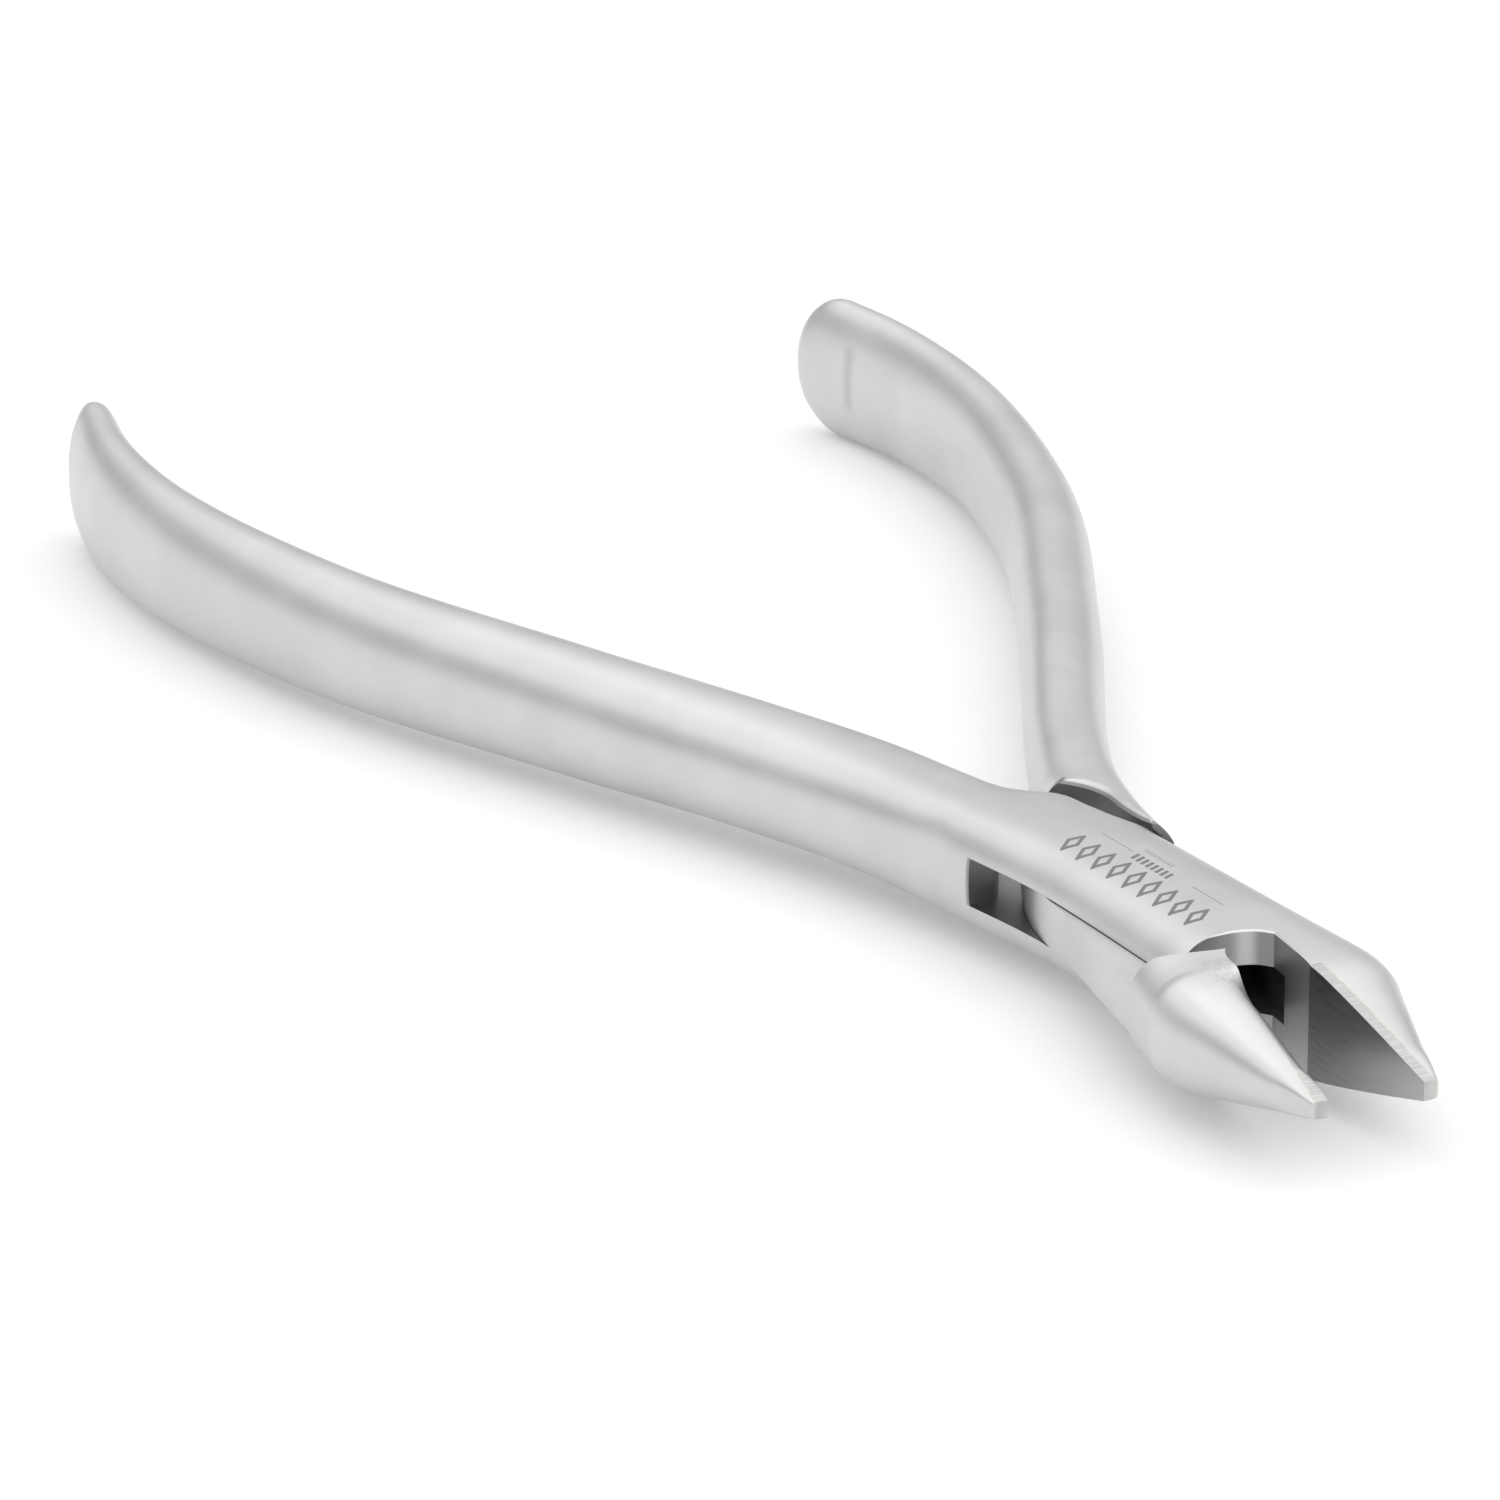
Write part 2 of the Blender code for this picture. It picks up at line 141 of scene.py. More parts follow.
# Colours of the details; the steel's and the floor's own are in the property groups
ETCHED = (0.20, 0.20, 0.205)
SLOT_SHADE = (0.16, 0.16, 0.16)
SHOULDER_SHADE = (0.10, 0.10, 0.10)
ROUGH_SHADE = (0.42, 0.42, 0.42)
BAR_SHADE = (0.30, 0.30, 0.30)
LAPPED = ((0.23, 0.23, 0.235), (0.30, 0.30, 0.305))
# painted reflection: the blade's face is painted lighter towards its tip
TIP_PAINTED_REFLECTION = (0.52, 0.52, 0.52)
LAPPED_SPOT = (0.62, 0.62, 0.62)
GROUND_EDGE = ((0.46, 0.46, 0.46), (0.56, 0.56, 0.555))
BRAZED = ((0.50, 0.49, 0.45), (0.64, 0.62, 0.57))
FINE_BUMP = 0.00001
BRAZE_BUMP = 0.00004

# Stage, in metres: name, place, side and share of the overhead light's power
LIGHTS = (
    ("overhead", (0.05, 0.10, 0.60), 1.0, 1.0),
    ("left_card", (-0.45, -0.55, 0.30), 0.45, 0.08),
    ("back_card", (-0.35, 0.60, 0.35), 0.5, 0.08),
)
FLOOR_HALF = 3.0
FLOOR_Z = -0.0001
SURROUND_RISE = (0.25, 0.62)  # the surround brightens between these heights of its directions
CAMERA_PLACE = (0.4363, -0.20441, 0.1855)
CAMERA_YAW = 155.72
CAMERA_PITCH = -20.805
SENSOR_WIDTH = 36.0
CLIP_START = 0.01

# Stations of a half, closed: x, middle y, reach to the handle side, reach to the jaw side, half height
BOX_BODY = (
    (-98.27, 17.32, 1.85, 1.85, 4.80), (-94.0, 18.60, 1.98, 1.98, 4.72),
    (-86.6, 19.8, 2.19, 2.20, 4.56), (-65.6, 18.1, 2.80, 2.85, 4.22),
    (-44.0, 11.3, 3.35, 3.50, 3.90), (-30.0, 6.40, 3.60, 3.85, 3.68), (-22.4, 4.3, 3.60, 4.15, 3.56),
    (-17.0, 3.35, 3.40, 4.15, 3.54), (-14.6, 3.00, 3.30, 4.30, 3.56),
    (-13.4, 2.85, 3.20, 4.75, 3.60), (-12.3, 2.65, 3.20, 5.70, 3.64),
    (-11.0, 2.30, 3.45, 7.00, 3.70), (-8.6, 1.70, 3.75, 6.90, 3.78),
    (-3.0, 0.40, 4.45, 5.35, 3.85), (3.0, 0.00, 4.85, 5.05, 3.85),
    (9.0, 0.00, 5.05, 5.25, 3.84), (14.2, 0.00, 5.20, 5.60, 3.74),
)
TONGUE_BODY = (
    (-98.27, 17.32, 1.85, 1.85, 4.80), (-94.0, 18.65, 1.98, 1.94, 4.72),
    (-86.6, 19.9, 2.13, 2.05, 4.56), (-65.6, 18.4, 2.75, 2.35, 4.25),
    (-44.0, 11.9, 2.95, 2.20, 3.92), (-22.4, 4.6, 2.70, 2.25, 3.56),
    (-17.0, 3.45, 2.35, 2.65, 3.52), (-14.6, 3.05, 2.22, 2.90, 3.54),
    (-12.3, 2.60, 2.30, 3.60, 3.62), (-8.6, 1.70, 2.90, 5.00, 3.76),
    (-3.0, 0.40, 4.35, 5.25, 3.85), (3.0, 0.00, 4.85, 4.85, 3.85),
    (9.0, 0.00, 5.05, 5.05, 3.82), (14.2, 0.00, 5.20, 5.22, 3.70),
)
FAR_JAW = (
    (15.6, 0.00, 4.60, 5.75, 3.68), (17.3, 0.00, 2.60, 5.88, 3.54), (18.9, 0.00, 1.60, 5.60, 3.32),
    (21.0, 0.00, 1.30, 4.70, 2.84), (25.5, 0.00, 1.00, 2.75, 1.70), (TIP_X, 0.00, 0.80, 0.95, 0.56),
)
NEAR_JAW = (
    (15.2, 0.00, 4.70, 5.28, 3.62), (16.2, -0.50, 3.85, 4.85, 3.55), (17.6, -2.20, 2.72, 3.20, 3.37),
    (18.9, -2.30, 2.50, 2.80, 3.15), (21.0, -2.00, 2.20, 2.30, 2.66), (25.5, -1.20, 1.35, 1.40, 1.53),
    (TIP_X, -0.42, 0.60, 0.53, 0.50),
)


def spline(rows, steps):
    """Smooth curve through the rows: a cubic to a span, whose tangent at a row is that of the
    parabola through it and its neighbours, with distances measured in the first two columns."""
    rows = np.array(rows, float)
    rows = np.vstack([2 * rows[0] - rows[1], rows, 2 * rows[-1] - rows[-2]])
    length = np.linalg.norm(np.diff(rows[:, :2], axis=0), axis=1)[:, None]
    slope = np.diff(rows, axis=0) / length
    tangent = (slope[:-1] * length[1:] + slope[1:] * length[:-1]) / (length[1:] + length[:-1])
    t = np.linspace(0.0, 1.0, steps, endpoint=False)[None, :, None]
    start, end, span = rows[1:-2, None], rows[2:-1, None], length[1:-1, None]
    spans = ((2 * t ** 3 - 3 * t ** 2 + 1) * start + (3 * t ** 2 - 2 * t ** 3) * end
             + (t ** 3 - 2 * t ** 2 + t) * span * tangent[:-1, None]
             + (t ** 3 - t ** 2) * span * tangent[1:, None])
    return np.vstack([spans.reshape(-1, rows.shape[1]), rows[-2:-1]])


def smooth(value, low, high):
    """Zero below low, one above high, and a cubic ramp between."""
    t = np.clip((value - low) / (high - low), 0.0, 1.0)
    return t * t * (3 - 2 * t)


def power(value, exponent):
    """Power that keeps the sign, as a superellipse needs."""
    return np.sign(value) * np.abs(value) ** exponent


def arc(radius, start, end, count):
    """Arc about the rivet axis: radius times the cosine and sine of evenly spaced degrees."""
    angle = np.radians(np.linspace(start, end, count))
    return np.stack([radius * np.cos(angle), radius * np.sin(angle)], axis=1)


def turned_normals(line):
    """Unit normals to the left of a line of plan points."""
    along = np.gradient(line, axis=0)
    along /= np.linalg.norm(along, axis=1)[:, None]
    return np.stack([-along[:, 1], along[:, 0]], axis=1)


def to_row_frame(points, turn):
    """Turn points from closed to rest about the rivet axis, and put them in the row's frame."""
    c, s = math.cos(turn), math.sin(turn)
    flat = np.asarray(points, float).reshape(-1, 3)
    return np.stack([c * flat[:, 0] - s * flat[:, 1], s * flat[:, 0] + c * flat[:, 1],
                     flat[:, 2]], axis=1) * MM + PIVOT


def tube_mesh(name, rings, turn):
    """Closed skin over a grid of points, stations by ring, with a flat cap at each end."""
    rows, count = rings.shape[:2]
    i, j = np.meshgrid(np.arange(rows - 1), np.arange(count), indexing="ij")
    k = (j + 1) % count
    quads = np.stack([i * count + j, i * count + k, (i + 1) * count + k, (i + 1) * count + j], -1)
    faces = quads.reshape(-1, 4).tolist()
    faces += [list(range(count))[::-1], list(range((rows - 1) * count, rows * count))]
    mesh = bpy.data.meshes.new(name)
    mesh.from_pydata(to_row_frame(rings, turn).tolist(), [], faces)
    if np.einsum("ij,ij->", *signed_parts(mesh)) < 0:
        mesh.flip_normals()
    mesh.update()
    return mesh


def signed_parts(mesh):
    """Centres and area vectors of a mesh's faces: their products sum to three volumes."""
    count = len(mesh.polygons)
    centre, normal, area = np.empty(count * 3), np.empty(count * 3), np.empty(count)
    mesh.polygons.foreach_get("center", centre)
    mesh.polygons.foreach_get("normal", normal)
    mesh.polygons.foreach_get("area", area)
    return centre.reshape(-1, 3) - PIVOT, normal.reshape(-1, 3) * area[:, None]


def untangled(outline, moved):
    """An offset outline whose edges all run the way they did: where one has turned back, its ends
    are averaged with their neighbours until it runs forward again."""
    edges = np.roll(outline, -1, axis=0) - outline
    for _ in range(UNTANGLE_ROUNDS):
        now = np.roll(moved, -1, axis=0) - moved
        back = np.sum(now * edges, axis=1) < FORWARD_SHARE * np.sum(edges * edges, axis=1)
        if not back.any():
            break
        loose = back | np.roll(back, 1)
        mean = (np.roll(moved, 1, axis=0) + moved + np.roll(moved, -1, axis=0)) / 3
        moved = np.where(loose[:, None], mean, moved)
    return moved


def prism_rings(outline, levels):
    """An outline repeated at each height, moved out by that level's offset along its normals."""
    outline = np.array(outline, float)
    after, before = np.roll(outline, -1, axis=0) - outline, outline - np.roll(outline, 1, axis=0)
    area = np.sum(outline[:, 0] * np.roll(outline[:, 1], -1) - np.roll(outline[:, 0], -1) * outline[:, 1])
    unit = [v / np.linalg.norm(v, axis=1)[:, None] for v in (before, after)]
    side = [np.stack([v[:, 1], -v[:, 0]], axis=1) * np.sign(area) for v in unit]
    mitre = side[0] + side[1]
    mitre /= np.maximum(np.sum(mitre * side[0], axis=1), 0.5)[:, None]
    return np.stack([np.column_stack([untangled(outline, outline + mitre * offset),
                                      np.full(len(outline), z)]) for z, offset in levels])


def through(chamfer):
    """Levels of a cutter that goes right through the box and breaks both its edges."""
    lower = rim(min(chamfer, LOWER_EDGE_BREAK))
    return tuple((-z, offset) for z, offset in reversed(lower)) + rim(chamfer)


def rim(chamfer):
    """Upper levels of a cutter that breaks the edge it leaves in a flat."""
    wide = chamfer + EDGE_RISE
    return ((FLAT_Z - chamfer, 0.0), (FLAT_Z + EDGE_RISE, wide), (CUT_TOP, wide))


def forging_rings(side, stations):
    """Sections of a half: two joined superellipse halves, |y/e|^n + |z/h|^n = 1, along its middle
    line, which close as an ellipse at the end of the handle. Along the box a height z is pressed to
    z / (1 + |z/f|^p)^(1/p), which nears the flat's height f."""
    rows = spline(stations, STATION_STEPS)
    centre = rows[:, :2]
    normal = turned_normals(centre)
    straight = smooth(rows[:, 0], *AXIS_SPAN)[:, None]
    normal = normal * (1 - straight) + straight * np.array([0.0, 1.0])
    normal /= np.linalg.norm(normal, axis=1)[:, None]
    back = (centre[0] - centre[1]) / np.linalg.norm(centre[0] - centre[1])
    part = np.sin(np.linspace(*END_SPAN, END_SECTIONS) * math.pi)
    nose = np.clip((part * END_LENGTH - END_LENGTH + END_NOSE) / END_NOSE, 0.0, 1.0)
    end = np.column_stack([centre[0] + back * END_LENGTH * part[:, None],
                           rows[0, 2] * (END_OVERRUN - part) ** END_TAPER,
                           rows[0, 3] * np.sqrt(1 - nose ** 2),
                           rows[0, 4] * np.sqrt(1 - part ** 2)])
    rows = np.vstack([end, rows])
    normal = np.vstack([np.repeat(normal[:1], len(end), axis=0), normal])
    x = rows[:, :1]
    rounder = NEAR_JAW_ROUNDER if side > 0 else 0.0
    n = (HANDLE_ROUNDNESS + BOX_SQUARER * smooth(x, *BOX_SPAN)
         - rounder * smooth(x, *JAW_SPAN) + TIP_SQUARER * smooth(x, *TIP_SPAN))
    angle = ((np.arange(RING) + 0.5) * math.tau / RING)[None, :]
    reach = np.where(np.cos(angle) > 0, rows[:, 2:3], rows[:, 3:4])
    across = reach * power(np.cos(angle), 2 / n)
    height = rows[:, 4:5] * power(np.sin(angle), 2 / n)
    over = np.abs(height / (FLAT_Z + FLAT_EASE)) ** FLAT_SOFTNESS
    pressed = height / (1 + over) ** (1 / FLAT_SOFTNESS)
    height += (pressed - height) * smooth(x, *PRESS_SPAN)
    plan = rows[:, None, :2] + normal[:, None, :] * across[..., None]
    return np.stack([plan[..., 0], side * plan[..., 1], height], axis=-1)


def shoulder_line(offset):
    """Rear edge of the cheeks moved out by offset, and an arc about the rivet at its end."""
    line = spline(((-13.4, -0.15), (-12.8, 0.55), (-11.9, 1.40), (-10.7, 2.02), (-8.0, 2.37),
                   (-6.1, 2.75), (-5.1, 3.16)), EDGE_STEPS)
    line = line + offset * turned_normals(line)
    start = math.degrees(math.atan2(line[-1, 1], line[-1, 0]))
    return np.vstack([line[:-1], arc(CORNER_R + offset, start, 120.0, 24)])


def shoulder_cut():
    """What is cut off the box half behind its cheeks, where the tongue half's shoulder stands."""
    return np.vstack([[(CUT_REAR, CUT_SIDE), (CUT_REAR, -0.15)], shoulder_line(0.0), [(-3.0, CUT_SIDE)]])


def slot_cut():
    """Slot through the box: its far wall is a smooth line, its rear end three straight ones."""
    far_wall = spline(((0.6, 5.1), (3.0, 4.25), (6.0, 3.5), (9.0, 2.9), (12.0, 2.1), (14.3, 1.35),
                       (15.2, 0.5), (15.5, -0.6)), EDGE_STEPS)
    return np.vstack([[(16.0, -CUT_SIDE), (-8.6, -CUT_SIDE), (-8.6, -3.7), (-9.5, -2.9), (-13.6, -0.35),
                       (-16.0, 0.2), (-16.0, CUT_SIDE), (0.6, CUT_SIDE)], far_wall])


def blade_seat(side):
    """Step behind a blade, the seat of its braze, and the way out past the tip."""
    heel = BLADE_HEEL - HEEL_GAP
    return ((heel, side * STEP_FRONT), (heel, side * BRAZE_BACK), (CUT_FRONT, side * BRAZE_BACK),
            (CUT_FRONT, -side * CUT_SIDE))


def front_cut():
    """What is cut off the box half beside the near jaw: the hollow front edge, then the blade's seat."""
    edge = spline(((12.85, -5.0), (12.5, -3.4), (12.4, -1.9), (12.55, -0.7), (13.0, 0.2),
                   (13.7, 0.75)), FRONT_STEPS)
    return np.vstack([[(12.85, -CUT_SIDE)], edge, blade_seat(1)])


def tongue_far_cut():
    """What is cut off the tongue half on the far side of its tongue, then its blade's seat."""
    edge = spline(((-4.6, 4.40), (-1.5, 4.45), (0.8, 4.40), (2.9, 3.9), (5.9, 3.15), (8.9, 2.55),
                   (11.6, 1.75), (13.3, 0.92), (14.3, 0.15), (15.1, -0.24), (15.8, -0.36)), EDGE_STEPS)
    return np.vstack([[(-4.6, CUT_SIDE)], edge, blade_seat(-1)])


def tongue_near_cut():
    """What is cut off the tongue half on the near side of its tongue, clear of the near handle."""
    edge = spline(((-12.9, 0.15), (-11.3, -0.9), (-9.2, -2.4), (-7.9, -3.6), (-6.6, -4.6),
                   (-5.6, -5.6)), EDGE_STEPS)
    return np.vstack([[(CUT_REAR, -CUT_SIDE), (CUT_REAR, 0.15)], edge, [(-5.6, -CUT_SIDE)]])


def cheek_space():
    """Room for a cheek above or below the tongue, from the shoulder round to the near jaw's heel."""
    return np.vstack([[(-14.0, -CUT_SIDE)], shoulder_line(SHOULDER_GAP),
                      [(-1.5, 6.4), (1.0, 7.0), (12.6, 7.0)], arc(HEEL_R, 25.0, -38.0, 60),
                      [(11.0, -11.0)]])


def bore(gap):
    """Round hole for the rivet, wider than it by the gap."""
    return arc(RIVET_R + gap, 0.0, 360.0 - 360.0 / BORE_SIDES, BORE_SIDES)


def slab(half):
    """Levels of a straight cutter that reaches this far above and below the middle."""
    return ((-half, 0.0), (half, 0.0))


def trim(front, start, end):
    """Cutter from far behind up to front, between two distances from the mating plane."""
    return (TRIM_REAR, start), (front, start), (front, end), (TRIM_REAR, end)


def grind(name, mesh, cuts, turn):
    """Take each cutter, an outline with its levels, out of a body and return the cut mesh."""
    half = bpy.data.objects.new(name, mesh)
    bpy.context.scene.collection.objects.link(half)
    tools = []
    for number, (outline, levels) in enumerate(cuts):
        tool = bpy.data.objects.new(f"{name}_cut_{number}",
                                    tube_mesh("cutter", prism_rings(outline, levels), turn))
        bpy.context.scene.collection.objects.link(tool)
        tools.append(tool)
        boolean = half.modifiers.new(tool.name, "BOOLEAN")
        boolean.operation, boolean.solver, boolean.object = "DIFFERENCE", "EXACT", tool
    weld = half.modifiers.new("weld", "WELD")
    weld.merge_threshold = WELD
    graph = bpy.context.evaluated_depsgraph_get()
    cut = bpy.data.meshes.new_from_object(half.evaluated_get(graph))
    for used in tools + [half]:
        bpy.data.objects.remove(used)
    return cut


def show(name, mesh, body, node, finish, sharp=27.0):
    """Add a finished piece that moves with its body and stands for its CAD node."""
    mesh.materials.clear()
    mesh.materials.append(finish)
    mesh.shade_smooth()
    mesh.set_sharp_from_angle(angle=math.radians(sharp))
    piece = bpy.data.objects.new(name, mesh)
    bpy.context.scene.collection.objects.link(piece)
    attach(piece, body)
    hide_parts(node)
    return piece


class Wire:
    """A shader socket that can be used in arithmetic."""

    def __init__(self, graph, socket):
        self.graph, self.socket = graph, socket

    def of(self, operation, *others):
        """Result of a Math operation on this socket and the others."""
        return self.graph.node("ShaderNodeMath", {"operation": operation}, self, *others)

    def __add__(self, other):
        return self.of("ADD", other)

    def __sub__(self, other):
        return self.of("SUBTRACT", other)

    def __rsub__(self, other):
        return self.graph.node("ShaderNodeMath", {"operation": "SUBTRACT"}, other, self)

    def __mul__(self, other):
        return self.of("MULTIPLY", other)

    def __truediv__(self, other):
        return self.of("DIVIDE", other)

    def __rtruediv__(self, other):
        return self.graph.node("ShaderNodeMath", {"operation": "DIVIDE"}, other, self)

    __radd__, __rmul__ = __add__, __mul__

    def ramp(self, low, high):
        """Zero at low and one at high, smoothly, for either order of the two."""
        return self.graph.node("ShaderNodeMapRange", {"interpolation_type": "SMOOTHSTEP"},
                               self, low, high, 0.0, 1.0)


class Graph:
    """A node tree with one method for every node."""

    def __init__(self, tree):
        self.tree = tree

    def join(self, value, target):
        """Link a wire to a socket, or set the socket to a plain value."""
        if isinstance(value, Wire):
            self.tree.links.new(value.socket, target)
        else:
            target.default_value = value

    def node(self, kind, settings, *values, out=0, numbered=(), **named):
        """Add a node: its settings first, then a wire or a value for its sockets, taken in order,
        by number or by name. The wire that comes back starts at its socket out."""
        made = self.tree.nodes.new(kind)
        for key, value in settings.items():
            setattr(made, key, value)
        for key, value in [*enumerate(values), *numbered, *named.items()]:
            self.join(value, made.inputs[key])
        return Wire(self, made.outputs[out])


class Finish(Graph):
    """A material's node tree."""

    def __init__(self, name):
        self.material = bpy.data.materials.new(name)
        self.material.use_nodes = True
        super().__init__(self.material.node_tree)
        self.shader = self.tree.nodes["Principled BSDF"]

    def place(self, turn):
        """Object coordinates in millimetres from the rivet axis, turned back to the closed plan: the
        vector, then its three parts."""
        here = self.node("ShaderNodeTexCoord", {}, out="Object")
        moved = self.node("ShaderNodeVectorMath", {"operation": "SUBTRACT"}, here, tuple(PIVOT))
        scaled = self.node("ShaderNodeVectorMath", {"operation": "MULTIPLY"}, moved, (1 / MM,) * 3)
        spun = self.node("ShaderNodeVectorRotate", {"rotation_type": "Z_AXIS"}, scaled, Angle=-turn)
        split = self.node("ShaderNodeSeparateXYZ", {}, spun).socket.node
        return spun, [Wire(self, output) for output in split.outputs]

    def noise(self, vector, scale, detail, stretch=(1.0, 1.0, 1.0)):
        """Cloudy pattern between zero and one, its grain drawn out by a stretch along each axis."""
        drawn = self.node("ShaderNodeVectorMath", {"operation": "MULTIPLY"}, vector, stretch)
        return self.node("ShaderNodeTexNoise", {}, drawn, Scale=scale, Detail=detail, Roughness=0.55)

    def mix(self, factor, *colours):
        """Colour between two, by factor."""
        colours = [value if isinstance(value, Wire) else (*value, 1.0) for value in colours]
        return self.node("ShaderNodeMix", {"data_type": "RGBA"}, factor, out=2,
                         numbered=zip((6, 7), colours))

    def feed(self, socket, value):
        """Give the surface shader's socket a wire or a value."""
        self.join(value, self.shader.inputs[socket])

    def metal(self, colour, roughness, relief, strength, distance):
        """Bare metal with a colour, a roughness and a fine relief."""
        self.feed("Base Color", colour)
        self.feed("Metallic", 1.0)
        self.feed("Roughness", roughness)
        self.feed("Normal", self.node("ShaderNodeBump", {}, Strength=strength, Distance=distance,
                                      Height=relief))
        return self.material


def shade(colour, share):
    """A colour made darker by a share."""
    return tuple(channel * share for channel in colour)


def band(value, low, high, soft=0.03):
    """One between two values, with a soft edge."""
    return value.ramp(low - soft, low + soft) * value.ramp(high + soft, high - soft)


def steel(name, turn, look, details=None):
    """Satin stainless steel: faint cloudiness, fine drawn lines, and a half's own details."""
    make = Finish(name)
    here = make.place(turn)
    where, _ = here
    cloud = make.noise(where, *CLOUD)
    drawn = make.noise(where, *DRAWN)
    grain = make.noise(where, *GRAIN)
    tint = make.mix(cloud.ramp(0.3, 0.7), shade(look.steel, 0.93), look.steel)
    tint = make.mix(drawn.ramp(0.62, 0.80) * 0.25, tint, shade(look.steel, 0.88))
    rough = look.roughness + (cloud - 0.5) * 0.10 + (drawn - 0.5) * 0.10
    relief = grain * 0.35 + drawn * 0.65
    if details:
        tint, rough, relief = details(make, here, tint, rough, relief)
    return make.metal(tint, rough, relief, 0.22, FINE_BUMP)


def box_details(make, here, tint, rough, relief):
    """The box half's etched mark, and the shade on the walls of its slot."""
    _, (x, y, z) = here
    etched = mark(x, y) * z.ramp(*MARK_TOP)
    tint = make.mix(etched * 0.88, tint, ETCHED)
    walls = z.of("ABSOLUTE").ramp(SLOT_HALF + 0.04, SLOT_HALF) * band(x, *SLOT_SPAN, 0.1)
    walls = walls * x.ramp(-9.0, -8.7).of("MAXIMUM", y.ramp(-4.1, -3.8)) * y.ramp(4.4, 4.2)
    tint = make.mix(walls * (0.72 - x.ramp(8.0, 12.0) * 0.60), tint, SLOT_SHADE)
    return tint, rough + etched * 0.30, relief


def tongue_details(make, here, tint, rough, relief):
    """The tongue half's filed patch behind the near jaw, the shade under its shoulder, a soft bar on
    its handle and the saw lines beside its tongue."""
    where, (x, y, z) = here
    filed = band(x, *FILED_SPAN, 0.3) * y.ramp(-2.6, -1.7) * z.ramp(0.6, 1.2)
    coarse = make.noise(where, *FILED)
    relief = relief + filed * coarse * 9.0
    tint = make.mix(filed * coarse.ramp(0.35, 0.7) * 0.5, tint, ROUGH_SHADE)
    height = z.of("ABSOLUTE")
    radius = (x * x + y * y).of("SQRT")
    low, high = SHOULDER_WALL
    wall = height.ramp(*low) * height.ramp(*high) * band(x, *SHOULDER_SPAN, 0.1)
    wall = wall * radius.ramp(6.45, 6.35).of("MAXIMUM", y.ramp(3.40, 3.30))
    tint = make.mix(wall * 0.72, tint, SHOULDER_SHADE)
    bar = band(x, *BAR_SPAN, 0.5) * band(z, *BAR_HEIGHTS, 0.6) * y.ramp(18.0, 17.4)
    tint = make.mix(bar * 0.4, tint, BAR_SHADE)
    low, high = SAWN_HEIGHTS
    flat = band(x, *SAWN_SPAN, 0.5) * z.ramp(*low) * z.ramp(*high) * y.ramp(-3.0, -4.0)
    lines = make.noise(where, *SAWN)
    return tint, rough, relief + flat * lines.ramp(0.52, 0.72) * 6.0


def mark(x, y):
    """Generic etched mark: a row of slanted lozenges, a short row of bars, and two hairlines."""
    slant = x + (y + 1.7) * 0.42
    pitch, bar_pitch, dot_pitch = 1.62, 0.5, 0.25
    row_start, bars_start = -4.2, 0.9
    row = band(y, -2.88, -0.55) * band(slant, row_start, 10.3)
    cell = (slant - row_start).of("MODULO", pitch) / pitch - 0.5
    spread = cell.of("ABSOLUTE") * 1.25 + (y + 1.71).of("ABSOLUTE") * 0.36
    lozenges = row * spread.ramp(0.50, 0.44) * spread.ramp(0.20, 0.26)
    along = slant - bars_start
    bars = (along.of("MODULO", bar_pitch) / bar_pitch).ramp(0.62, 0.52)
    dots = (along.of("MODULO", dot_pitch) / dot_pitch).ramp(0.60, 0.45)
    bar_row = band(y, -0.20, 0.55) * band(slant, bars_start, 4.9)
    dot_row = band(y, 1.0, 1.35, 0.02) * band(slant, bars_start, 3.9, 0.02)
    hair = band(y, 0.42, 0.50, 0.015) * (band(x, -3.7, -0.4) + band(x, 5.75, 8.95))
    return (lozenges + bar_row * bars + dot_row * dots * 0.6 + hair * 0.8).of("MINIMUM", 1.0)


def carbide(name, turn):
    """Lapped hard metal: dark flat faces with faint spots and a painted reflection that lightens them
    towards the tip, and cross grinding along the edge.
    """
    make = Finish(name)
    where, (x, y, _) = make.place(turn)
    lapped = make.noise(where, *LAPPING)
    spots = make.noise(where, *SPOTS).ramp(0.76, 0.80)
    edge = y.of("ABSOLUTE").ramp(0.045, 0.075)
    lines = make.noise(where, *CROSS_GRINDING)
    face = make.mix(lapped.ramp(0.3, 0.75), *LAPPED)
    # Painted reflection: the face is painted lighter from x 19 to the tip
    face = make.mix(x.ramp(19.0, 29.5), face, TIP_PAINTED_REFLECTION)
    face = make.mix(spots * 0.5, face, LAPPED_SPOT)
    ground = make.mix(lines.ramp(0.35, 0.7), *GROUND_EDGE)
    return make.metal(make.mix(edge, face, ground), 0.24 + lapped * 0.12 + edge * 0.08,
                      lines * edge + lapped * 0.2, 0.25, FINE_BUMP)


def braze(name, turn):
    """Silver braze line: dull, a little warm, uneven."""
    make = Finish(name)
    where, _ = make.place(turn)
    uneven = make.noise(where, *BRAZE_GRAIN)
    return make.metal(make.mix(uneven.ramp(0.3, 0.7), *BRAZED), 0.36 + uneven * 0.15, uneven,
                      0.3, BRAZE_BUMP)


def plain_floor(name, colour):
    """Matt floor of nearly one tone that glows a little, so it stays pale."""
    make = Finish(name)
    here = make.node("ShaderNodeTexCoord", {}, out="Object")
    tone = make.noise(here, *FLOOR_GRAIN)
    make.feed("Base Color", make.mix(tone, shade(colour, 0.80), shade(colour, 0.81)))
    make.feed("Roughness", 0.9)
    make.feed("Emission Color", make.mix(tone, shade(colour, 0.99), colour))
    make.feed("Emission Strength", 0.20)
    return make.material


